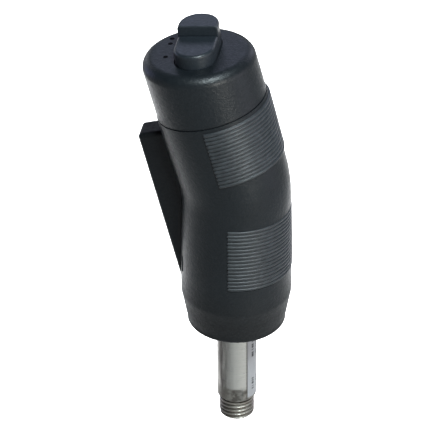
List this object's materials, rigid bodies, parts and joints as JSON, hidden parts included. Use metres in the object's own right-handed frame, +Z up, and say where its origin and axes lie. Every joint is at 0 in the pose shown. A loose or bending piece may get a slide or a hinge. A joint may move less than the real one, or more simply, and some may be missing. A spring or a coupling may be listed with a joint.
{
  "type": "air ratchet power handle",
  "caption": "Angled power handle of an air ratchet: threaded steel nose, tapered black grip with ribbed palm pads, throttle lever and two coupled direction buttons on the rear cap.",
  "frame": {"origin": "centre of the shoulder behind the nose thread, where the ratchet head seats", "axes": "+Z up the nose, motor and lower grip, away from the ratchet head; -X towards the throttle lever, which is the way the upper grip leans; +Y towards the air inlet"},
  "size_m": [0.0678, 0.0518, 0.2022],
  "materials": {
    "housing_plastic": "moulded, satin, near-black blue-grey",
    "lever_plastic": "moulded, satin, near-black",
    "button_plastic": "moulded, satin, near-black",
    "pad_rubber": "soft ribbed rubber, near-black",
    "seal_rubber": "soft black rubber",
    "black_oxide_steel": "black oxide",
    "dot_paint": "dark filled dots",
    "ground_steel": "ground",
    "turned_steel": "fine-turned, bright",
    "gear_steel": "hardened",
    "spring_steel": "drawn wire",
    "filter_bronze": "sintered bronze",
    "brass": "turned brass",
    "cast_aluminium": "die cast",
    "cast_iron": "ground grey iron",
    "label_foil": "satin blank foil",
    "vane_laminate": "brown phenolic laminate",
    "felt": "grey felt"
  },
  "bodies": {
    "handle": {"grip_housing": "housing_plastic", "upper_grip_pad": "pad_rubber", "lower_grip_pad": "pad_rubber", "rear_cap": "housing_plastic", "cap_gasket": "seal_rubber", "cap_set_screws": "black_oxide_steel", "selector_marks": "dot_paint", "rocker_pin": "ground_steel", "inlet_bushing": "turned_steel", "inlet_screen": "filter_bronze", "transfer_tube": "brass", "valve_body": "cast_aluminium", "throttle_bushing": "brass", "throttle_spring": "spring_steel", "throttle_plug": "brass", "lever_pin": "ground_steel", "motor_housing": "turned_steel", "rating_label": "label_foil", "nose_bush": "filter_bronze", "spindle_bearing": "ground_steel", "ring_gear": "gear_steel", "front_end_plate": "cast_iron", "front_bearing": "ground_steel", "cylinder_liner": "cast_iron", "rear_end_plate": "cast_iron", "rear_bearing": "ground_steel", "motor_lock_ring": "black_oxide_steel", "manifold_gasket": "seal_rubber", "exhaust_muffler": "felt"},
    "lever": {"throttle_lever": "lever_plastic"},
    "throttle_valve": {"throttle_stem": "ground_steel", "throttle_poppet": "seal_rubber"},
    "forward_selector": {"forward_button": "button_plastic", "forward_spool": "ground_steel", "forward_spool_seals": "seal_rubber"},
    "reverse_selector": {"reverse_button": "button_plastic", "reverse_spool": "ground_steel", "reverse_spool_seals": "seal_rubber"},
    "rocker": {"selector_rocker": "gear_steel"},
    "rotor": {"rotor": "gear_steel", "rotor_vanes": "vane_laminate", "sun_pinion": "gear_steel"},
    "output": {"output_spindle": "gear_steel", "planet_pins": "ground_steel"},
    "planet_1": {"planet_gear_1": "gear_steel"},
    "planet_2": {"planet_gear_2": "gear_steel"},
    "planet_3": {"planet_gear_3": "gear_steel"}
  },
  "joints": [
    {"name": "lever_hinge", "type": "hinge", "parent": "handle", "child": "lever", "pos_m": [-0.0206, 0, 0.0755], "axis": [0, 1, 0], "range_deg": [0, 6], "stiffness_Nm_per_rad": 1.6, "springref_deg": -8.59},
    {"name": "throttle_slide", "type": "slide", "parent": "handle", "child": "throttle_valve", "axis": [0.9668, 0, 0.2554], "range_m": [0, 0.005], "deforming": ["throttle_spring"]},
    {"name": "forward_slide", "type": "slide", "parent": "handle", "child": "forward_selector", "axis": [-0.1011, 0, 0.9949], "range_m": [0, 0.0045]},
    {"name": "reverse_slide", "type": "slide", "parent": "handle", "child": "reverse_selector", "axis": [-0.1011, 0, 0.9949], "range_m": [-0.0045, 0]},
    {"name": "rocker_hinge", "type": "hinge", "parent": "handle", "child": "rocker", "pos_m": [-0.01483, 0, 0.16604], "axis": [0.9949, 0, 0.1011], "range_deg": [-44.2, 0]},
    {"name": "rotor_spin", "type": "hinge", "parent": "handle", "child": "rotor", "pos_m": [0, 0, 0.0785], "axis": [0, 0, 1], "continuous": true},
    {"name": "carrier_spin", "type": "hinge", "parent": "handle", "child": "output", "pos_m": [0, 0, 0.052], "axis": [0, 0, 1], "continuous": true},
    {"name": "planet_1_spin", "type": "hinge", "parent": "output", "child": "planet_1", "pos_m": [0.0072, 0, 0.0565], "axis": [0, 0, 1], "continuous": true},
    {"name": "planet_2_spin", "type": "hinge", "parent": "output", "child": "planet_2", "pos_m": [-0.0036, 0.00624, 0.0565], "axis": [0, 0, 1], "continuous": true},
    {"name": "planet_3_spin", "type": "hinge", "parent": "output", "child": "planet_3", "pos_m": [-0.0036, -0.00624, 0.0565], "axis": [0, 0, 1], "continuous": true}
  ],
  "couplings": [
    {"joint": "throttle_slide", "follows": "lever_hinge", "m_per_rad": 0.0473},
    {"joint": "reverse_slide", "follows": "forward_slide", "ratio": -1},
    {"joint": "rocker_hinge", "follows": "forward_slide", "rad_per_m": -170.81},
    {"joint": "carrier_spin", "follows": "rotor_spin", "ratio": 0.25},
    {"joint": "planet_1_spin", "follows": "rotor_spin", "ratio": -0.75},
    {"joint": "planet_2_spin", "follows": "rotor_spin", "ratio": -0.75},
    {"joint": "planet_3_spin", "follows": "rotor_spin", "ratio": -0.75}
  ]
}
